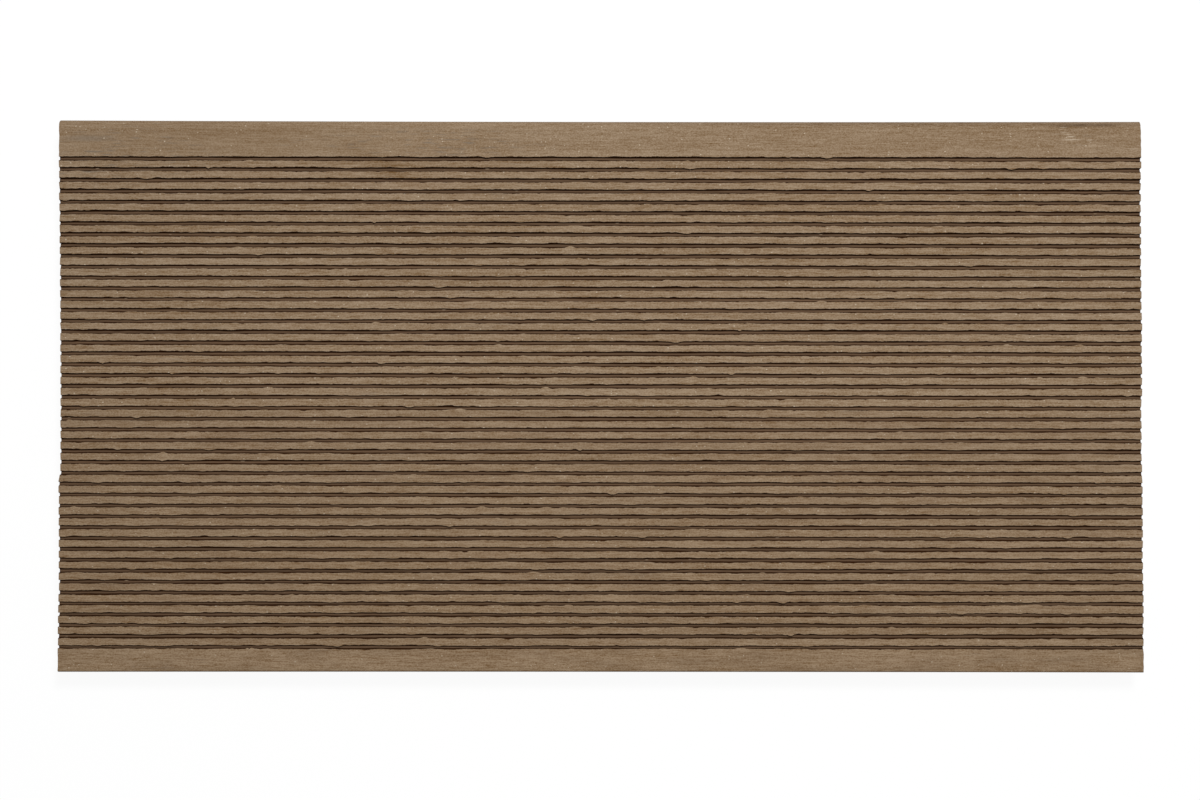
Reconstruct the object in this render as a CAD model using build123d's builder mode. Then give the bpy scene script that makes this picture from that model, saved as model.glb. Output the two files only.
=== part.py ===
"""Deck step board: one solid extruded tread of wood-plastic composite, sawn square at both ends.

Millimetres, +Z up. +X runs along the grooves and +Y points to the rounded nosing at the front.
The origin is the centre of the underside.
"""

import os
from math import radians, tan

from build123d import *

# Driving dimensions
length = 600.0  # from sawn end to sawn end
thickness = 25.0  # underside to the tops of the ridges
front_land = 21.5  # front face to the middle of the first groove: the plain band at the nosing
rear_land = 13.8  # rear face to the middle of the last groove: the plain band at the back

groove_count = 46
groove_pitch = 6.0
groove_depth = 1.5
groove_mouth = 2.0  # between the flanks, at the level of the ridge tops
flank_lean = 7.5  # degrees from upright: the grooves open outwards, to leave the die
shoulder_radius = 0.2  # on the long edges of the ridges
root_radius = 0.2  # where a flank meets the groove's floor

nosing_radius = 4.0  # the front top edge, where the foot lands
arris_radius = 1.0  # the other three long edges

# What follows from them
grooved_width = (groove_count - 1) * groove_pitch  # first groove's middle to the last one's
width = rear_land + grooved_width + front_land
grooves_middle = (rear_land - front_land) / 2  # the lands differ, so the grooves sit off centre
groove_floor = groove_mouth - 2 * groove_depth * tan(radians(flank_lean))
floor_level = thickness - groove_depth

with BuildPart() as step_board:
    # The die's opening: the sketch's X runs across the board, and its Y is the board's height.
    with BuildSketch(Plane.YZ) as section:
        Rectangle(width, thickness, align=(Align.CENTER, Align.MIN))
        top_corners = section.vertices().group_by(Axis.Y)[-1].sort_by(Axis.X)
        foot_corners = section.vertices().group_by(Axis.Y)[0]
        fillet(top_corners[-1], nosing_radius)
        fillet(foot_corners + top_corners[:-1], arris_radius)

        # The grooves, each a slot between two leaning flanks
        with Locations((grooves_middle, thickness)):
            with GridLocations(groove_pitch, 0, groove_count, 1):
                Polygon(
                    (-groove_mouth / 2, 0),
                    (-groove_floor / 2, -groove_depth),
                    (groove_floor / 2, -groove_depth),
                    (groove_mouth / 2, 0),
                    align=None,
                    mode=Mode.SUBTRACT,
                )
        levels = section.vertices().group_by(Axis.Y)
        roots = next(level for level in levels if abs(level[0].Y - floor_level) < root_radius / 10)
        fillet(roots, root_radius)

        # The top level's outermost two vertices end the nosing and the rear arris.
        shoulders = section.vertices().group_by(Axis.Y)[-1].sort_by(Axis.X)[1:-1]
        fillet(shoulders, shoulder_radius)

    extrude(amount=length / 2, both=True)

os.makedirs("parts", exist_ok=True)
step_board.part.label = "step_board"
export_step(step_board.part, "parts/step_board.step")
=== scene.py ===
"""Deck step board: one length of grooved wood-plastic composite, seen from straight above on white.

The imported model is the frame. The board's own surface is worked out from its cross-section and
carried along its length, with the small wanderings that the die, the sanding belt and the saw leave.
Metres, +X along the grooves, +Y towards the rounded nosing, +Z up.
"""

import math

import bpy
import numpy as np
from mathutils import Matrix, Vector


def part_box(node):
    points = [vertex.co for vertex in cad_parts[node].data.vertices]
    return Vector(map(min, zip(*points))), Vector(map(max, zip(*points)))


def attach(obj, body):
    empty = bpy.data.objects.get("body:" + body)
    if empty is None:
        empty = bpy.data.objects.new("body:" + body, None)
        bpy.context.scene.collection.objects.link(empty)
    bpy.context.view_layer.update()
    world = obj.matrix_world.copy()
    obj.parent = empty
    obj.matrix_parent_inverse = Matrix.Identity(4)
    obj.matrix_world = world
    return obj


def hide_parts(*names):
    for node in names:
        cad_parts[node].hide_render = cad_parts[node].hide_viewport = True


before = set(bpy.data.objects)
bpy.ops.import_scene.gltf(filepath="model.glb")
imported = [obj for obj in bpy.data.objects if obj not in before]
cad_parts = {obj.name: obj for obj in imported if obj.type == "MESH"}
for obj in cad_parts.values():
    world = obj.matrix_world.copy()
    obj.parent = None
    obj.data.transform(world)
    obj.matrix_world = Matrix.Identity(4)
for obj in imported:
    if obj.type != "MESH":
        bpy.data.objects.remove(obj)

bl_info = {
    "name": "Deck Step Board",
    "version": (1, 0, 0),
    "blender": (4, 5, 0),
    "location": "View3D > Sidebar > Step Board",
    "description": "Makes a sanded, grooved composite step board and the stage that it is shown on",
    "category": "Add Mesh",
}

MM = 0.001
ENDS = {"left": 1, "right": -1}  # which way along X each end faces into the board
WHITE = (1.0, 1.0, 1.0)
NODE = "step_board"
LOW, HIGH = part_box(NODE)
LENGTH, WIDTH, THICKNESS = (HIGH - LOW)[:]
SANDED, FLANK, FLOOR, SAWN = range(4)  # the board's material slots
FAR = 0.1  # stands for the distance to a groove where none is near, in metres
PATTERN_STEP = (7.31, 3.17, 5.53)  # how far a pattern's number moves it, in its own cells
SHARP_FROM = 32.0  # faces that turn more than this many degrees meet in a sharp edge

# Section: the waist is a level part way up the sides, where the ends' faces have a row of points.
WAIST = 0.76  # its height as a share of the thickness
REAR_WAIST = 4  # number of the section's point at the waist of the rear face

# Wear: burrs reach into a groove, chips are missing from a ridge.
BURR_SHARE = 0.65  # how many of the marks are burrs
CHIP_SHARE = 0.7  # a chip's size next to a burr's
MARK_SIZE, MARK_MOST = 0.3 * MM, 0.9 * MM  # how far marks reach on average, and at most
MARK_HALVES = (1.0, 4.5)  # least and greatest half of a mark's length, in mm
REACH_IN, REACH_OUT = 0.8 * MM, 0.5 * MM  # how far an edge may stray into and out of its groove
EDGE_OFFSET = 0.35  # each edge's constant offset next to its wandering
CALM_END = 3 * MM  # how near to an end no edge comes far into its groove
CALM_LEAN = 0.8  # how far it comes in there at most, as a share of its flank's lean
FLOOR_FOLLOWS = 0.15  # how much of an edge's wandering the floor's corner follows
FLOOR_REACH = 5 * MM  # over what length the floor's corners wander by themselves
REAR_BOW = 0.45  # the rear edge's bow next to the front edge's

# Saw: places in percent of the width from the rear, and how far it cut the end short there, in mm
SAW_CUTS = {
    "left": (
        (0, 8, 16, 22, 30, 35, 36, 50, 57, 69, 84, 91, 100),
        (0.6, 0.65, 1.0, 0.95, 0.75, 0.6, 1.65, 1.5, 1.35, 1.0, 0.38, 0.03, 0.06),
    ),
    "right": (
        (0, 15, 20, 34, 37, 49, 50, 58, 63, 65, 75, 86, 94, 100),
        (0.05, 0.03, 0.28, 0.4, 0.7, 0.93, 0.47, 0.55, 0.35, 0.68, 0.8, 0.9, 0.6, 0.95),
    ),
}
SAW_MOST = 1.8 * MM  # how far the ends lie inside the stated length at most
SAW_PULL = 12 * MM  # how far along the board its points move with its ends
SAW_TEAR = 0.2 * MM  # how far the ends below the walking face lie inside the saw's line

# Ground: a square white floor under the board
GROUND_REACH, GROUND_LEVEL = 4.0, -0.05 * MM  # from its middle to its sides, and its height
GLOW_SHARE, GLOW_STRENGTH = 0.92, 1.02  # the rest of it takes light and shadow

# Texture: a square picture that the finish may be baked to, and heights on it in its pixels
MAP_PIXELS = 1024
MAP_EDGE = 2 / MAP_PIXELS  # clear margin round the picture
UNDERSIDE_LOW, UNDERSIDE_HIGH = 6, 124  # the underside's edges, above the section's strips
ENDS_LOW, END_HEIGHT = 130, 20  # where the ends begin, above the strips, and each of their bands

# Pale scratches towards the right end of the front band: X, Y and half-length in mm, and how pale
SCRATCHES = (
    (256.0, 148.9, 3.5, 0.45),
    (256.2, 146.2, 2.5, 0.35),
    (258.8, 144.9, 3.0, 0.4),
    (260.4, 143.8, 3.6, 0.7),
    (260.8, 142.1, 8.0, 0.65),
    (270.5, 141.9, 2.5, 0.35),
    (237.5, 148.1, 6.5, 0.3),
    (295.0, 137.0, 5.0, 0.3),
)


def linear(red, green, blue):
    """Scene colour of a display colour given as three numbers from 0 to 255."""
    parts = (np.array((red, green, blue)) / 255 + 0.055) / 1.055
    return tuple(float(part) for part in parts**2.4)


def distance_property(name, description, millimetres):
    """A length that a user may change, with its default in millimetres."""
    return bpy.props.FloatProperty(
        name=name, description=description, default=millimetres * MM, precision=5, unit="LENGTH"
    )


def count_property(name, description, number):
    """A whole number that a user may change."""
    return bpy.props.IntProperty(name=name, description=description, default=number, min=1)


def colour_property(name, description, red, green, blue):
    """A colour that a user may change, with its default as a display colour."""
    return bpy.props.FloatVectorProperty(
        name=name,
        description=description,
        default=linear(red, green, blue),
        size=3,
        min=0.0,
        max=1.0,
        subtype="COLOR",
    )


class BoardForm(bpy.types.PropertyGroup):
    """Sizes of the board's section and of its small irregularities."""

    groove_count: count_property("Grooves", "Grooves across the face", 46)
    groove_pitch: distance_property("Pitch", "From one groove's middle to the next one's", 6.0)
    front_land: distance_property("Front land", "Front face to the middle of the first groove", 21.5)
    groove_depth: distance_property("Groove depth", "Ridge tops to groove floors", 1.5)
    groove_mouth: distance_property("Groove mouth", "Width at the ridge tops", 2.16)
    groove_floor: distance_property("Groove floor", "Width at the bottom", 1.5)
    nosing_radius: distance_property("Nosing", "Round on the front top edge", 4.0)
    arris_radius: distance_property("Arris", "Round on the other long edges", 1.0)
    edge_wander: distance_property("Edge wander", "How far ridge edges stray from straight", 0.14)
    floor_wander: distance_property("Floor wander", "How far the floor's corners stray", 0.05)
    ragged_ends: distance_property("Ragged ends", "How far the saw tore the ends", 0.14)
    floor_recess: distance_property("Floor recess", "How far groove floors end short of ridge tips", 0.25)
    mouth_drift: distance_property("Mouth drift", "How much wider the front grooves are worn", 0.09)
    long_bow: distance_property("Bow", "How far the front edge draws in at mid-length", 0.45)
    chip_count: count_property("Chips", "Burrs and chips on the edges", 760)
    stations: count_property("Stations", "Sections along the board", 458)
    seed: count_property("Seed", "Start of the random draws", 11)


class BoardFinish(bpy.types.PropertyGroup):
    """Colours of the board's surfaces."""

    sanded_dark: colour_property("Sanded, dark", "Darkest streaks of the sanded face", 108, 80, 47)
    sanded_light: colour_property("Sanded, light", "Lightest streaks of the sanded face", 159, 138, 114)
    fibre: colour_property("Fibre", "Pale wood fibres cut by the sanding", 205, 190, 168)
    # The flanks' colour: the skin's own colour, darkened further by painted shade in the grooves
    wall: colour_property("Groove wall", "Unsanded skin on the groove's flanks", 46, 26, 10)
    floor: colour_property("Groove floor", "Unsanded skin at the bottom of the grooves", 99, 77, 58)
    skin: colour_property("Moulded skin", "Sides and underside as they left the die", 104, 82, 60)
    sawn: colour_property("Sawn end", "Fresh cut across the board", 132, 108, 82)
    haze: colour_property("Haze", "Greyish bloom on the sanded face", 116, 105, 93)
    smear: colour_property("Smear", "Dark smear on the nosing", 65, 46, 27)
    rear_tint: colour_property("Rear tint", "Filter over the sanded face at its rear", 255, 252, 247)


class StageLook(bpy.types.PropertyGroup):
    """Where the camera and the lights are, and how strong the lights are."""

    camera_height: distance_property("Camera height", "Camera above the floor", 1026.8)
    camera_x: distance_property("Camera X", "Camera along the board", -2.7)
    camera_y: distance_property("Camera Y", "Camera across the board", -14.45)
    camera_tilt: bpy.props.FloatVectorProperty(
        name="Camera tilt",
        description="Turns of the camera from looking straight down",
        default=[math.radians(angle) for angle in (0.691, -0.131, 0.057)],
        subtype="EULER",
        unit="ROTATION",
    )
    lens: bpy.props.FloatProperty(name="Lens", description="Focal length in mm", default=54.385)
    key_x: distance_property("Key lamp X", "Key lamp along the board", 210.0)
    key_y: distance_property("Key lamp Y", "Key lamp across the board", 550.0)
    key_height: distance_property("Key lamp height", "Key lamp above the floor", 1425.0)
    key_size: distance_property("Key lamp size", "Side of the square key lamp", 260.0)
    key_power: bpy.props.FloatProperty(name="Key power", description="Watts", default=18.3, unit="POWER")
    fill: bpy.props.FloatProperty(name="Fill", description="Strength of the even light", default=0.26)


class Socket:
    """An output of a shader node. Python operators on it add Math nodes."""

    def __init__(self, finish, socket):
        self.finish, self.socket = finish, socket

    def other(self, name):
        """Another output of the same node."""
        return Socket(self.finish, self.socket.node.outputs[name])

    def __add__(self, other):
        return self.finish.math("ADD", self, other)

    def __sub__(self, other):
        return self.finish.math("SUBTRACT", self, other)

    def __rsub__(self, other):
        return self.finish.math("SUBTRACT", other, self)

    def __mul__(self, other):
        return self.finish.math("MULTIPLY", self, other)

    __radd__ = __add__
    __rmul__ = __mul__

    def least(self, other):
        """The smaller of the two."""
        return self.finish.math("MINIMUM", self, other)

    def most(self, other):
        """The larger of the two."""
        return self.finish.math("MAXIMUM", self, other)

    def rise(self, low, high):
        """0 at low and before, 1 at high and beyond, smooth between. High may be the lower number."""
        inputs = {"Value": self, "From Min": low, "From Max": high}
        return self.finish.node("ShaderNodeMapRange", {"interpolation_type": "SMOOTHSTEP"}, inputs)


class Finish:
    """A material or a world, and the nodes in it."""

    def __init__(self, owner):
        owner.use_nodes = True
        self.owner, self.tree = owner, owner.node_tree
        self.tree.nodes.clear()

    def node(self, kind, settings=None, inputs=None, output=0):
        """Adds a node of this kind, sets it, then fills its sockets with values or links."""
        made = self.tree.nodes.new(kind)
        for name, value in (settings or {}).items():
            setattr(made, name, value)
        for name, value in (inputs or {}).items():
            if isinstance(value, Socket):
                self.tree.links.new(value.socket, made.inputs[name])
            elif made.inputs[name].type == "RGBA":
                made.inputs[name].default_value = (*value[:3], 1.0)
            else:
                made.inputs[name].default_value = value
        return Socket(self, made.outputs[output] if made.outputs else None)

    def math(self, operation, *values):
        """A Math node."""
        return self.node("ShaderNodeMath", {"operation": operation}, dict(enumerate(values)))

    def mix(self, kind, share, first, second):
        """A Mix node on colours: its factor is socket 0, its colours are sockets 6 and 7."""
        settings = {"data_type": "RGBA", "blend_type": kind}
        return self.node("ShaderNodeMix", settings, {0: share, 6: first, 7: second}, 2)

    def blend(self, share, first, second):
        """The first colour where share is 0, the second where it is 1."""
        return self.mix("MIX", share, first, second)

    def tinted(self, colour, tint):
        """The product of two colours."""
        return self.mix("MULTIPLY", 1.0, colour, tint)

    def shades(self, tone, colour, dark, light):
        """A colour times dark where tone is 0, and times light where it is 1."""
        return self.blend(tone, [dark * part for part in colour], [light * part for part in colour])

    def numbers(self, vector):
        """The X, Y and Z numbers of a vector."""
        split = self.node("ShaderNodeSeparateXYZ", inputs={0: vector})
        return split, split.other("Y"), split.other("Z")

    def place(self):
        """The board's own coordinates, in metres."""
        return self.numbers(self.node("ShaderNodeTexCoord", output="Object"))

    def strip(self):
        """Distances, in metres, from the rear and the front edge of this ridge, flank or floor."""
        return self.numbers(self.node("ShaderNodeUVMap", {"uv_map": "strip"}))[:2]

    def seen(self):
        """1 for the rays that show a background: the camera's, and those of reflections and glass."""
        path = self.node("ShaderNodeLightPath", output="Is Camera Ray")
        return path.most(path.other("Is Glossy Ray")).most(path.other("Is Transmission Ray"))

    def mapped(self, along, across, shift):
        """Object coordinates in cells that are so many millimetres along and across the board."""
        inputs = {
            "Vector": self.node("ShaderNodeTexCoord", output="Object"),
            "Location": [shift * step for step in PATTERN_STEP],
            "Scale": (1 / (along * MM), 1 / (across * MM), 1 / (across * MM)),
        }
        return self.node("ShaderNodeMapping", inputs=inputs)

    def grain(self, along, across, shift, detail=1.0):
        """Smooth noise about 0, in patches of about that size in millimetres."""
        inputs = {"Vector": self.mapped(along, across, shift), "Scale": 1.0, "Detail": detail}
        return self.node("ShaderNodeTexNoise", inputs=inputs) - 0.5

    def specks(self, along, across, shift, share, radius):
        """1 in scattered spots: that share of the cells have one, of up to that radius of a cell."""
        inputs = {"Vector": self.mapped(along, across, shift), "Scale": 1.0}
        spot = self.node("ShaderNodeTexVoronoi", inputs=inputs)
        draw = self.node("ShaderNodeSeparateColor", inputs={0: spot.other("Color")})
        size = (draw.other("Green") * 0.7 + 0.3) * radius
        chosen = draw.rise(1 - share, 1 - share + 0.001)
        return spot.rise(size, size * 0.5) * chosen

    def oval(self, x, y, half_length, half_width, turn=0.0):
        """1 in the middle of an oval on the walking face, 0 from its rim on. Lengths in mm."""
        inputs = {
            "Vector": self.node("ShaderNodeTexCoord", output="Object"),
            "Location": (x * MM, y * MM, THICKNESS),
            "Rotation": (0.0, 0.0, math.radians(turn)),
            "Scale": (half_length * MM, half_width * MM, 1.0),
        }
        place = self.node("ShaderNodeMapping", {"vector_type": "TEXTURE"}, inputs)
        far = self.node("ShaderNodeVectorMath", {"operation": "LENGTH"}, {0: place}, "Value")
        return far.rise(1.0, 0.1)

    def finished(self, colour, roughness, height, bump_distance, specular=0.3):
        """Feeds the surface and its relief, and gives the material."""
        inputs = {"Height": height, "Distance": bump_distance, "Strength": 1.0}
        surface = {
            "Base Color": colour,
            "Roughness": roughness,
            "Specular IOR Level": specular,
            "Normal": self.node("ShaderNodeBump", inputs=inputs),
        }
        shader = self.node("ShaderNodeBsdfPrincipled", inputs=surface)
        self.node("ShaderNodeOutputMaterial", inputs={"Surface": shader})
        return self.owner


def sanded_tone(finish):
    """How light the sanded face is, from 0 to 1, and its relief.

    Grit marks, short ticks, hair-thin scratches, longer streaks and slow patches are added to a
    level that is higher in the rear half. The fine ones are calmer on the front band and stronger
    to the rear. Broad ovals make some places darker, where boards lay against each other or
    something was spilt, and others paler, at the corners and the right end.
    """
    grit = finish.grain(0.9, 0.6, 3)
    tick = finish.grain(3.4, 0.55, 6)
    hair = finish.grain(8.5, 0.58, 1)
    streak = finish.grain(30.0, 0.8, 2)
    patch = finish.grain(90.0, 16.0, 4)
    ridge = finish.grain(420.0, 7.0, 5)
    _, y, _ = finish.place()
    front_band = y.rise(131.5 * MM, 132.5 * MM)
    rear_band = y.rise(-134 * MM, -139 * MM)
    # Painted light: a higher level to the rear makes up for the key lamp's light falling off there
    level = 0.505 + y.rise(90 * MM, -60 * MM) * 0.09
    strength = 1 - front_band * 0.13 - finish.oval(-215, 142, 230, 24) * 0.22
    strength = strength + y.rise(60 * MM, -60 * MM) * 0.12 + rear_band * 0.15
    fine = grit * (1.2 + front_band * 0.35) + tick * 0.55 + hair * (1.05 - front_band * 0.25)
    tone = level + fine * strength + streak * 0.5 + patch * 0.3 + ridge * 0.24

    # Darker: a cloudy blot on the front band, worn ridges, and two corners.
    cloud = finish.grain(12.0, 5.0, 7, detail=2.0) * 2.5 + 1
    blot = (finish.oval(-119, 127, 40, 10, -24) * 0.22 + finish.oval(-58, 136, 14, 6) * 0.1) * cloud
    worn = finish.oval(14, -75, 220, 10) * 0.06 + finish.oval(177, -35, 34, 14) * 0.07
    corner = finish.oval(-264, 125, 40, 5) * 0.05 + finish.oval(299.2, -145, 2.0, 13) * 0.14
    # Paler: both corners of the left end, and a stretch of the right end.
    pale = finish.oval(-300, 138, 34, 26) * 0.11 + finish.oval(-285, -143, 90, 18) * 0.1
    pale = pale + finish.oval(300, -38, 70, 62) * 0.09
    return tone + pale - blot - worn - corner, hair + grit


def moulded_look(finish, look):
    """Colour of the unsanded skin: lines drawn by the die, mottling, and pale scuffs."""
    lines = finish.grain(160.0, 0.8, 21)
    draws = finish.grain(300.0, 3.2, 23)
    mottle = finish.grain(9.0, 4.0, 22, detail=2.0)
    tone = 0.5 + lines * 0.7 + draws * 0.9 + mottle * 0.7
    colour = finish.shades(tone, look.skin, 0.68, 1.32)
    scuffs = finish.specks(9.0, 3.0, 24, share=0.12, radius=0.3)
    return finish.blend(scuffs * 0.3, colour, look.sanded_light)


def sanded_finish(look):
    """The bands and ridge tops that the sanding belt wore pale, down to where it didn't reach."""
    finish = Finish(bpy.data.materials.new("sanded_composite"))
    to_rear, to_front = finish.strip()
    to_edge = to_rear.least(to_front)
    tone, relief = sanded_tone(finish)
    tone = tone + to_edge.rise(4 * MM, 2 * MM) * 0.045  # ridge tops are a little lighter than bands
    _, y, z = finish.place()
    tint = finish.blend(y.rise(80 * MM, -120 * MM), WHITE, look.rear_tint)
    colour = finish.tinted(finish.blend(tone, look.sanded_dark, look.sanded_light), tint)

    # Greyish bloom in drawn-out flecks, mostly on the left half of the front band.
    area = finish.oval(-262, 133, 70, 26) * 0.6 + finish.oval(-95, 139, 90, 13) * 0.7
    area = area + finish.grain(50.0, 12.0, 36).rise(0.05, 0.2) * 0.25
    bloom = finish.grain(9.0, 0.9, 35).rise(0.05, 0.22) * area
    bloom = bloom.most(finish.oval(-284, 142.2, 22, 2.8) * 0.45)
    colour = finish.blend(bloom, colour, look.haze)

    # Pale cut fibres, dark hairlines and pale scratches.
    fibres = finish.specks(2.6, 1.7, 31, share=0.28, radius=0.23)
    colour = finish.blend(fibres * 0.75, colour, look.fibre)
    hairlines = finish.specks(11.0, 0.9, 32, share=0.3, radius=0.35)
    hairlines = hairlines * (0.3 + y.rise(-130 * MM, -140 * MM) * 0.3)
    colour = finish.blend(hairlines, colour, look.sanded_dark)
    scratches = sum(finish.oval(*line, 0.4) * pale for *line, pale in SCRATCHES)
    colour = finish.blend(scratches, colour, look.fibre)

    # Next to a groove the skin shows through in places, in the flanks' colour and painted shade.
    reach = finish.grain(1.7, 1.2, 33) * (0.9 * MM) + finish.grain(7.0, 3.0, 39) * (0.6 * MM)
    worn = to_edge.rise(reach - 0.06 * MM, reach + 0.08 * MM)
    colour = finish.blend(worn, look.wall, colour)

    # The belt reached further down the nosing than down the rear arris.
    front = y.rise(-10 * MM, 10 * MM)
    limit = 0.06 * MM + front * (2.84 * MM)
    depth = (THICKNESS - z) + finish.grain(30.0, 6.0, 34) * ((0.2 + front * 0.8) * MM)
    sanded = depth.rise(limit + 0.2 * MM, limit - 0.15 * MM)
    colour = finish.blend(sanded, moulded_look(finish, look), colour)

    # A dark smear along the nosing, strongest at the right.
    smear = (finish.oval(269, 150.3, 45, 1.9) * 0.5).most(finish.oval(257, 150.2, 10, 2.2) * 0.6)
    smear = smear.most(finish.oval(170, 151, 260, 2.6) * 0.22)
    smear = smear * (0.9 + finish.grain(7.0, 2.0, 37) * 1.5)
    colour = finish.blend(smear, colour, look.smear)
    return finish.finished(colour, 0.62 + sanded * 0.2, relief, 0.06 * MM, 0.2)


def groove_tone(finish, shift):
    """How light a groove is: a level of its own that drifts slowly along it, and short streaks.

    The grooves towards the middle of the board are lighter: painted light.
    """
    # Painted light: lighter grooves towards the middle of the board
    lit_share = finish.oval(0, 5, 1200, 110) * 0.3
    return 0.45 + lit_share + finish.grain(260.0, 3.6, shift) * 1.3 + finish.grain(14.0, 1.0, shift + 1) * 0.7


def groove_finish(look):
    """The flanks: unsanded skin, darkened by painted shade where they are shut off from the light,
    with pale crumbs of dust.

    The flanks that face the nosing, towards the lamp, are painted lighter: painted light.
    """
    finish = Finish(bpy.data.materials.new("groove_flank"))
    _, to_nosing, _ = finish.numbers(finish.node("ShaderNodeNewGeometry", output="Normal"))
    # Painted light: the flanks that face the nosing, towards the lamp, are lighter
    tone = groove_tone(finish, 41) + to_nosing.rise(-0.1, 0.1) * 0.35
    colour = finish.shades(tone, look.wall, 0.6, 1.6)
    crumbs = finish.specks(9.0, 2.4, 43, share=0.14, radius=0.26)
    colour = finish.blend(crumbs * 0.6, colour, look.sanded_dark)
    return finish.finished(colour, 0.7, tone, 0.02 * MM, 0.02)


def groove_floor_finish(look):
    """The groove floors: skin dulled by sanding dust, with painted shade along the flanks."""
    finish = Finish(bpy.data.materials.new("groove_floor"))
    to_rear, to_front = finish.strip()
    stray = finish.grain(9.0, 3.0, 51) * (0.5 * MM)
    # Painted shade along both flanks, wider at the front one: painted shadow of the ridge there
    lit_share = (to_rear + stray).rise(0.0, 0.35 * MM) * (to_front - stray).rise(0.2 * MM, 0.55 * MM)
    tone = groove_tone(finish, 52)
    colour = finish.blend(lit_share, look.wall, finish.shades(tone, look.floor, 0.72, 1.28))
    crumbs = finish.specks(8.0, 1.5, 54, share=0.14, radius=0.2)
    colour = finish.blend(crumbs * 0.7, colour, look.sanded_light)
    return finish.finished(colour, 0.75, tone, 0.02 * MM, 0.05)


def sawn_finish(look):
    """The cut ends: wood flour and plastic torn by the saw, with pale fibres and faint tooth marks."""
    finish = Finish(bpy.data.materials.new("sawn_composite"))
    flour = finish.grain(0.9, 0.9, 61, detail=3.0)
    flakes = finish.specks(1.5, 1.5, 62, share=0.35, radius=0.5)
    teeth = finish.grain(40.0, 1.4, 63, detail=2.0)
    colour = finish.shades(0.5 + flour * 0.9 + teeth * 0.3, look.sawn, 0.62, 1.35)
    colour = finish.blend(flakes * 0.35, colour, look.fibre)
    return finish.finished(colour, 0.9, flour + flakes * 0.3, 0.25 * MM)


def arc(centre_y, centre_z, radius, angles):
    """Points on a circle: its centre plus radius times (cosine, sine) of each angle, in degrees."""
    turn = np.radians(angles)
    return np.stack([centre_y + radius * np.cos(turn), centre_z + radius * np.sin(turn)], 1)


def land_points(form, outer, parts):
    """Points that divide a plain band evenly, without its two edges: outer is the one at a round."""
    first = WIDTH / 2 - form.front_land
    if outer > 0:
        ends = first + form.groove_mouth / 2, outer
    else:
        ends = outer, first - form.groove_pitch * (form.groove_count - 1) - form.groove_mouth / 2
    y = np.linspace(*ends, parts + 1)[1:-1]
    return np.stack([y, np.full(len(y), THICKNESS)], 1)


def board_section(form):
    """The cross-section's points, the number before the first groove, and that of the front foot.

    It runs from the rear foot up the rear face, over the face from rear to front, and down to the
    front foot. Each groove has four points: mouth edge, two floor corners, mouth edge. A foot's
    points lie straight under the points of the round above it, so that the ends are plain columns.
    """
    half, top = WIDTH / 2, THICKNESS
    small, large = form.arris_radius, form.nosing_radius
    rear_round = arc(-half + small, top - small, small, [180, 150, 120, 90])
    nosing = arc(half - large, top - large, large, [90, 76, 63, 52, 40, 26, 12, 0])
    rear_foot = rear_round[::-1] * (1, -1) + (0, top)
    rear_band, front_band = land_points(form, -half + small, 5), land_points(form, half - large, 7)

    # The front foot has a point on its own, smaller round under each of the nosing's points there.
    under_nosing = nosing[nosing[:, 0] > half - small + 0.01 * MM, 0]
    drop = np.sqrt(np.maximum(small**2 - (under_nosing - half + small) ** 2, 0))
    front_foot = np.stack([under_nosing, small - drop], 1)[::-1]
    front_foot[-1, 1] = 0.0

    waist = WAIST * top
    middles = half - form.front_land - form.groove_pitch * np.arange(form.groove_count)[::-1]
    across = np.array([-form.groove_mouth, -form.groove_floor, form.groove_floor, form.groove_mouth]) / 2
    levels = np.array([top, top - form.groove_depth, top - form.groove_depth, top])
    grooves = np.stack(np.broadcast_arrays(middles[:, None] + across, levels), -1).reshape(-1, 2)
    rear = np.concatenate([rear_foot, [(-half, waist)], rear_round, rear_band])
    front = np.concatenate([front_band, nosing, [(half, waist)], front_foot])
    return np.concatenate([rear, grooves, front]), len(rear), len(front_foot)


def smooth_noise(random, rows, count, spacing, reach):
    """Rows of white noise, each smoothed by a Gaussian of that reach, scaled to a deviation of 1."""
    waves = np.fft.rfft(random.standard_normal((rows, count)), axis=1)
    pitch = np.fft.rfftfreq(count, spacing)
    rows_out = np.fft.irfft(waves * np.exp(-2 * (np.pi * pitch * reach) ** 2), count, axis=1)
    return rows_out / rows_out.std()


def edge_shifts(form, random, x):
    """How far each mouth edge reaches into its groove, as (edges, stations), in metres.

    A sum of smooth noises of five reaches, larger at the rear grooves, a constant for each edge, and
    burrs and chips: each is height * (1 - t * t) ** 2, with t the distance from its middle over its
    half-length, up to 1.
    """
    edges, spacing = 2 * form.groove_count, x[1] - x[0]
    reaches = {1.0: 0.3, 3.0: 0.3, 6.0: 0.14, 30.0: 0.13, 80.0: 0.13}  # in mm: share of the variance
    shift = sum(
        math.sqrt(share) * smooth_noise(random, edges, len(x), spacing, reach * MM)
        for reach, share in reaches.items()
    )
    from_rear = np.linspace(0, 1, form.groove_count)
    by_groove = np.interp(from_rear, (0, 0.15, 0.5, 1), (1.3, 1.2, 0.92, 1))
    shift *= form.edge_wander * np.tile(by_groove, 2)[:, None]
    shift += form.edge_wander * EDGE_OFFSET * random.standard_normal((edges, 1))

    edge = random.integers(0, edges, form.chip_count)
    middle = random.uniform(x[0], x[-1], form.chip_count)
    half = random.uniform(*MARK_HALVES, form.chip_count) * MM
    inward = np.where(random.uniform(size=form.chip_count) < BURR_SHARE, 1.0, -CHIP_SHARE)
    height = inward * np.minimum(random.exponential(MARK_SIZE, form.chip_count), MARK_MOST)
    t = np.minimum(np.abs((x - middle[:, None]) / half[:, None]), 1)
    np.add.at(shift, edge, height[:, None] * (1 - t * t) ** 2)
    return np.clip(shift, -REACH_OUT, REACH_IN)


def saw_line(y, end):
    """How far inside the stated length the saw left this end at each Y, in metres.

    Straight between the places that SAW_CUTS gives.
    """
    return MM * np.interp(100 * (y / WIDTH + 0.5), *SAW_CUTS[end])


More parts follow.
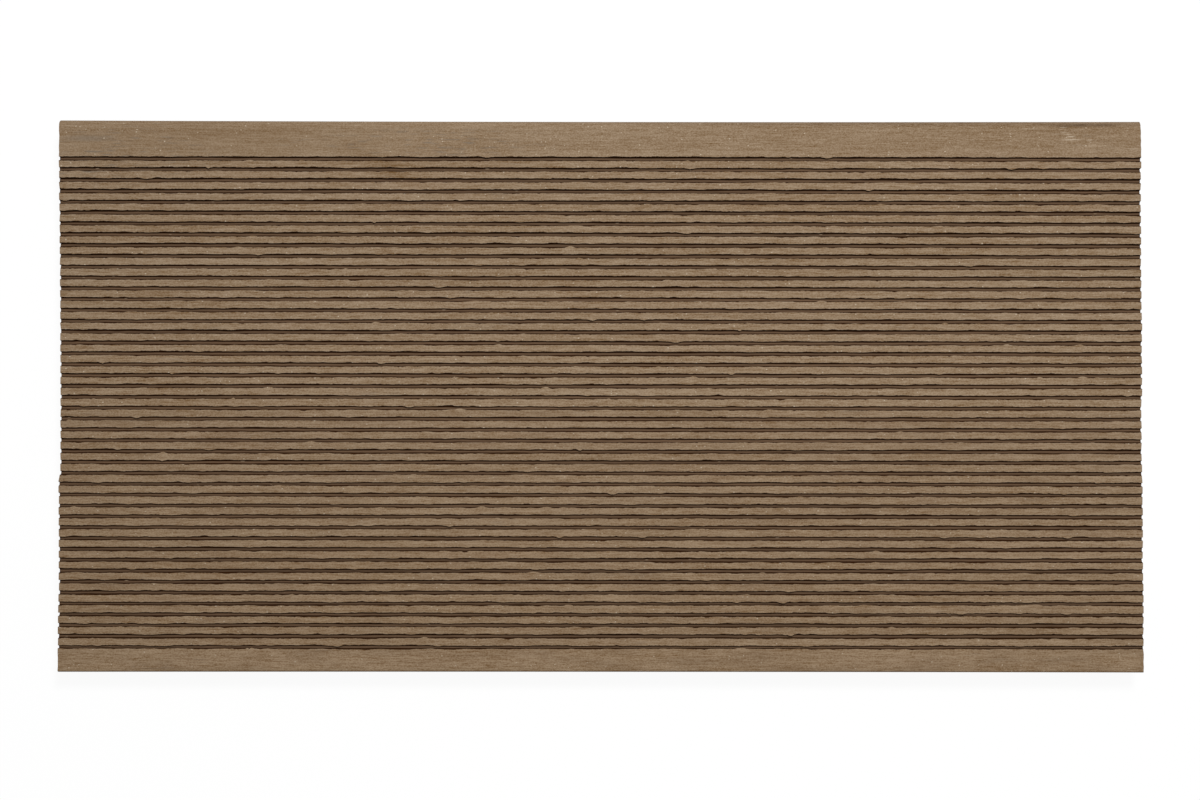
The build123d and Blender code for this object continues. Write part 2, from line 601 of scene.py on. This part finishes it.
def board_points(form):
    """The board's long surface as (points of the section, stations, 3), and the section's counts.

    A point is its section's point at its station, moved by the wandering of the mouth edges and
    the floor's corners, by the saw at the ends, and by the bow of the long edges, a parabola.
    """
    random = np.random.default_rng(form.seed)
    section, first, foot = board_section(form)
    x = np.linspace(-LENGTH / 2, LENGTH / 2, form.stations)
    sheet = np.zeros((len(section), len(x), 3))
    sheet[..., 0] = x
    sheet[..., 1:] = section[:, None]

    # The mouth edges wander, and the floor corners follow them a little.
    shift = edge_shifts(form, random, x)
    last = first + 4 * form.groove_count
    away = np.clip((LENGTH / 2 - np.abs(x)) / CALM_END, 0, 1)
    lean = CALM_LEAN * (form.groove_mouth - form.groove_floor) / 2
    shift = np.where(shift > lean, lean + (shift - lean) * away, shift)
    floor = smooth_noise(random, 2 * form.groove_count, len(x), x[1] - x[0], FLOOR_REACH)
    floor *= form.floor_wander
    rear, front = shift[: form.groove_count], shift[form.groove_count :]
    rear -= form.mouth_drift * np.linspace(-0.3, 1, form.groove_count)[:, None]  # from rear to front
    sheet[first:last:4, :, 1] += rear
    sheet[first + 1 : last : 4, :, 1] += FLOOR_FOLLOWS * rear + floor[: form.groove_count]
    sheet[first + 2 : last : 4, :, 1] -= FLOOR_FOLLOWS * front + floor[form.groove_count :]
    sheet[first + 3 : last : 4, :, 1] -= front

    # Both ends are pulled in to the saw's line, with torn edges. The floors end shorter than the
    # ridges, most of all at the rear of the left end and at the front of the right end.
    for end, sign in ENDS.items():
        torn = form.ragged_ends * np.abs(random.standard_normal(len(section)))
        share = 0.5 - sign * section[first:last, 0] / WIDTH
        torn[first:last].reshape(-1, 4)[:, 1:3] += form.floor_recess * share.reshape(-1, 4)[:, 1:3] ** 2
        pull = np.minimum(saw_line(section[:, 0], end) + torn, SAW_MOST)
        fade = np.clip(1 - (LENGTH / 2 + sign * x) / SAW_PULL, 0, 1)
        sheet[..., 0] += sign * pull[:, None] * fade

    # The long edges bow in towards the middle of the length.
    bow = form.long_bow * (1 - (2 * x / LENGTH) ** 2)
    sheet[:first, :, 1] += REAR_BOW * bow
    sheet[last:, :, 1] -= bow
    return sheet, first, foot


def strip_distances(sheet, first, last):
    """For each corner of the sheet's faces, how far the strip's rear edge and its front edge are.

    Both are lengths along the section. A strip is a ridge top, a flank, a groove floor, or one whole
    side of the board beyond the outer grooves, and where no groove bounds it the distance is large.
    """
    steps = np.linalg.norm(np.diff(sheet[..., 1:], axis=0), axis=-1)
    along = np.concatenate([np.zeros((1, sheet.shape[1])), np.cumsum(steps, axis=0)])
    row = np.arange(len(sheet) - 1)
    rear = np.where(row < first, 0, np.where(row >= last - 1, last - 1, row))
    front = np.where(row < first, first, np.where(row >= last - 1, len(sheet) - 1, row + 1))
    corners = np.stack([along[:-1, :-1], along[:-1, 1:], along[1:, 1:], along[1:, :-1]], -1)
    starts = np.stack([along[rear, :-1], along[rear, 1:], along[rear, 1:], along[rear, :-1]], -1)
    ends = np.stack([along[front, :-1], along[front, 1:], along[front, 1:], along[front, :-1]], -1)
    to_rear = corners - starts + FAR * (row < first)[:, None, None]
    to_front = ends - corners + FAR * (row >= last - 1)[:, None, None]
    return np.stack([to_rear, to_front], -1).reshape(-1, 4, 2)


def texture_rows(form, foot):
    """Place of each of the section's points up the texture, from 0 to 1.

    Each strip between two points has a height in pixels: about its width on the board for the
    walking face, and less for the sides, below and above the waist, and for the feet.
    """
    flank, floor, ridge, band, nosing, arris, under = 2.0, 3.5, 8.5, 4.8, 1.7, 1.0, 0.7
    rear = [under] * 3 + [17.0, 5.0] + [arris] * 3 + [band] * 5
    grooves = [flank, floor, flank] + [ridge, flank, floor, flank] * (form.groove_count - 1)
    front = [band] * 7 + [nosing] * 7 + [5.0, 13.0] + [under] * (foot - 1)
    return np.concatenate([[0], np.cumsum(rear + grooves + front)]) / MAP_PIXELS


def quads(rows, columns):
    """Corner numbers of a grid's faces: (row, column), next column, next of both, next row."""
    corner = np.arange(rows)[:, None] * columns + np.arange(columns)
    faces = (corner[:-1, :-1], corner[:-1, 1:], corner[1:, 1:], corner[1:, :-1])
    return np.stack(faces, -1).reshape(-1, 4)


def add_mesh(name, points, patches):
    """An object from points and patches, each (corners, slots, texture places, strip distances)."""
    mesh = bpy.data.meshes.new(name)
    mesh.vertices.add(len(points))
    mesh.vertices.foreach_set("co", points.astype(np.float32).ravel())
    corners = np.concatenate([patch[0].ravel() for patch in patches])
    sides = np.concatenate([np.full(len(patch[0]), patch[0].shape[1]) for patch in patches])
    mesh.loops.add(len(corners))
    mesh.loops.foreach_set("vertex_index", corners.astype(np.int32))
    mesh.polygons.add(len(sides))
    mesh.polygons.foreach_set("loop_start", (np.cumsum(sides) - sides).astype(np.int32))
    slots = np.concatenate([np.broadcast_to(patch[1], len(patch[0])) for patch in patches])
    mesh.polygons.foreach_set("material_index", slots.astype(np.int32))
    for layer_name, index in (("OFBake", 2), ("strip", 3)):
        layer = mesh.uv_layers.new(name=layer_name)
        places = np.concatenate([patch[index].reshape(-1, 2) for patch in patches])
        layer.uv.foreach_set("vector", places.astype(np.float32).ravel())
    mesh.update(calc_edges=True)
    mesh.shade_smooth()
    mesh.set_sharp_from_angle(angle=math.radians(SHARP_FROM))
    made = bpy.data.objects.new(name, mesh)
    bpy.context.scene.collection.objects.link(made)
    return made


def end_rows(sheet, foot, end, count):
    """Corner numbers of one end's three rows and of the underside's row alone, and the new points.

    The rows run from rear to front, at the underside, at the waist and along the walking face. The
    first two lie straight under the third, on the saw's line. They meet the sheet in its two sides.
    """
    strips, stations = sheet.shape[:2]
    station = 0 if end == "left" else stations - 1
    waists = REAR_WAIST, strips - foot - 1
    top = np.arange(waists[0] + 1, waists[1])
    waist = sheet[top[1:-1], station].copy()
    waist[:, 0] = ENDS[end] * (saw_line(waist[:, 1], end) + SAW_TEAR - LENGTH / 2)
    waist[:, 2] = sheet[waists[0], station, 2]
    base = waist[REAR_WAIST - 1 : 1 - foot] * (1, 1, 0)
    own = count + np.arange(len(waist) + len(base))
    waist_own, base_own = np.split(own, [len(waist)])
    feet = np.arange(strips) * stations + station
    base_row = np.concatenate([feet[REAR_WAIST - 1 :: -1], base_own, feet[: waists[1] : -1]])
    waist_row = np.concatenate([[feet[waists[0]]], waist_own, [feet[waists[1]]]])
    return (base_row, waist_row, feet[top]), base_own, np.concatenate([waist, base])


def end_patches(rows, points, end, lowest):
    """The two bands of faces between an end's three rows, each with its place on the texture."""
    left = (0.0 if end == "left" else 0.5) + MAP_EDGE
    y = np.concatenate([[-WIDTH / 2], points[rows[1][1:-1], 1], [WIDTH / 2]])
    across = left + (0.5 - 2 * MAP_EDGE) * (y / WIDTH + 0.5)
    patches = []
    for number in range(2):
        low, high = rows[number], rows[number + 1]
        faces = np.stack([low[:-1], high[:-1], high[1:], low[1:]], 1)
        v = lowest + (number + np.array([0, 1, 1, 0])) * END_HEIGHT / MAP_PIXELS
        u = np.stack([across[:-1], across[:-1], across[1:], across[1:]], 1)
        place = np.stack(np.broadcast_arrays(u, v), -1)
        if end == "right":
            faces, place = faces[:, ::-1], place[:, ::-1]
        patches.append((faces, SAWN, place, np.zeros(place.shape)))
    return patches


def underside_patches(points, strips, stations, bases, low, high):
    """The underside's faces from rear to front, and at each end one that also meets the end's base."""
    front = (strips - 1) * stations + np.arange(stations)
    rear = np.arange(stations)
    plain = np.stack([front[:-1], front[1:], rear[1:], rear[:-1]], 1)
    left = np.concatenate([plain[0], bases["left"]])
    right = np.concatenate([plain[-1][:2], bases["right"][::-1], plain[-1][2:]])
    patches = []
    for faces in (plain[1:-1], left[None], right[None]):
        share = points[faces][..., :2] / (LENGTH, WIDTH) + 0.5
        place = share * (1 - 2 * MAP_EDGE, high - low) + (MAP_EDGE, low)
        patches.append((faces, SANDED, place, np.full(place.shape, FAR)))
    return patches


def board_patches(form):
    """All points of the board, and its faces in patches as add_mesh takes them."""
    sheet, first, foot = board_points(form)
    strips, stations = sheet.shape[:2]
    last = first + 4 * form.groove_count
    rows = texture_rows(form, foot)
    u = np.linspace(MAP_EDGE, 1 - MAP_EDGE, stations)
    places = np.stack(np.broadcast_arrays(u, MAP_EDGE + rows[:, None]), -1)
    slots = np.full(strips - 1, SANDED)
    slots[first:last:4] = slots[first + 2 : last : 4] = FLANK
    slots[first + 1 : last : 4] = FLOOR
    faces = quads(strips, stations)
    texture = places.reshape(-1, 2)[faces]
    patches = [(faces, np.repeat(slots, stations - 1), texture, strip_distances(sheet, first, last))]

    points, bases = sheet.reshape(-1, 3), {}
    for end in ENDS:
        end_row, bases[end], own = end_rows(sheet, foot, end, len(points))
        points = np.concatenate([points, own])
        patches += end_patches(end_row, points, end, rows[-1] + ENDS_LOW / MAP_PIXELS)
    levels = rows[-1] + np.array((UNDERSIDE_LOW, UNDERSIDE_HIGH)) / MAP_PIXELS
    return points, patches + underside_patches(points, strips, stations, bases, *levels)


class STEPBOARD_OT_board(bpy.types.Operator):
    """Makes the board with its grooves, sanded face, moulded sides and sawn ends"""

    bl_idname = "stepboard.board"
    bl_label = "Step Board"

    def execute(self, context):
        form, look = context.scene.board_form, context.scene.board_finish
        board = add_mesh("sanded_step_board", *board_patches(form))
        for finish in (sanded_finish, groove_finish, groove_floor_finish, sawn_finish):
            board.data.materials.append(finish(look))
        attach(board, "root")
        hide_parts(NODE)
        return {"FINISHED"}


class STEPBOARD_OT_stage(bpy.types.Operator):
    """Makes the white ground, the lights and the camera above the board"""

    bl_idname = "stepboard.stage"
    bl_label = "Stage"

    def execute(self, context):
        look = context.scene.stage_look
        scene = context.scene
        scene.view_settings.view_transform = "Standard"
        self.camera(scene, look)
        self.lamp(scene, look)
        self.world(scene, look)
        self.ground(scene)
        return {"FINISHED"}

    def camera(self, scene, look):
        """A camera above the board that looks straight down, but for its small tilt."""
        data = bpy.data.cameras.new("camera_above")
        data.lens, data.sensor_width, data.sensor_fit = look.lens, 36.0, "HORIZONTAL"
        camera = bpy.data.objects.new("camera_above", data)
        camera.location = (look.camera_x, look.camera_y, look.camera_height)
        camera.rotation_euler = look.camera_tilt
        scene.collection.objects.link(camera)
        scene.camera = camera

    def lamp(self, scene, look):
        """One square lamp that points at the middle of the board."""
        data = bpy.data.lights.new("key_lamp", "AREA")
        data.shape, data.size, data.energy = "SQUARE", look.key_size, look.key_power
        lamp = bpy.data.objects.new("key_lamp", data)
        lamp.location = (look.key_x, look.key_y, look.key_height)
        lamp.rotation_euler = lamp.location.to_track_quat("Z", "Y").to_euler()
        scene.collection.objects.link(lamp)

    def world(self, scene, look):
        """Even light on the board, and plain white where a background shows."""
        finish = Finish(bpy.data.worlds.new("even_light"))
        light = finish.node("ShaderNodeBackground", inputs={"Color": WHITE, "Strength": look.fill})
        white = finish.node("ShaderNodeBackground", inputs={"Color": WHITE, "Strength": 1.0})
        mix = finish.node("ShaderNodeMixShader", inputs={0: finish.seen(), 1: light, 2: white})
        finish.node("ShaderNodeOutputWorld", inputs={"Surface": mix})
        scene.world = finish.owner

    def ground(self, scene):
        """A white floor just below the board, which glows but for the share that keeps its shadow."""
        finish = Finish(bpy.data.materials.new("white_ground"))
        diffuse = finish.node("ShaderNodeBsdfDiffuse", inputs={"Color": (0.9, 0.9, 0.9)})
        glow = finish.node("ShaderNodeEmission", inputs={"Color": WHITE, "Strength": GLOW_STRENGTH})
        share = finish.seen() * GLOW_SHARE
        mix = finish.node("ShaderNodeMixShader", inputs={0: share, 1: diffuse, 2: glow})
        finish.node("ShaderNodeOutputMaterial", inputs={"Surface": mix})
        turns = ((-1, -1), (1, -1), (1, 1), (-1, 1))
        corners = [(x * GROUND_REACH, y * GROUND_REACH, GROUND_LEVEL) for x, y in turns]
        mesh = bpy.data.meshes.new("ground")
        mesh.from_pydata(corners, [], [(0, 1, 2, 3)])
        mesh.materials.append(finish.owner)
        ground = bpy.data.objects.new("ground", mesh)
        scene.collection.objects.link(ground)


class STEPBOARD_PT_panel(bpy.types.Panel):
    """Lists the pieces and their settings"""

    bl_idname = "STEPBOARD_PT_panel"
    bl_label = "Step Board"
    bl_space_type = "VIEW_3D"
    bl_region_type = "UI"
    bl_category = "Step Board"

    def draw(self, context):
        for group, operator in (
            (context.scene.board_form, "stepboard.board"),
            (context.scene.board_finish, None),
            (context.scene.stage_look, "stepboard.stage"),
        ):
            column = self.layout.box().column()
            for name in group.bl_rna.properties.keys():
                if name not in {"rna_type", "name"}:
                    column.prop(group, name)
            if operator:
                column.operator(operator)


GROUPS = {"board_form": BoardForm, "board_finish": BoardFinish, "stage_look": StageLook}
CLASSES = (*GROUPS.values(), STEPBOARD_OT_board, STEPBOARD_OT_stage, STEPBOARD_PT_panel)


def register():
    for item in CLASSES:
        bpy.utils.register_class(item)
    for name, group in GROUPS.items():
        setattr(bpy.types.Scene, name, bpy.props.PointerProperty(type=group))


def unregister():
    for name in GROUPS:
        delattr(bpy.types.Scene, name)
    for item in reversed(CLASSES):
        bpy.utils.unregister_class(item)


def main():
    """Makes everything in order."""
    register()
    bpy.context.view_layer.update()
    bpy.ops.stepboard.board()
    bpy.ops.stepboard.stage()


if __name__ == "__main__":
    main()
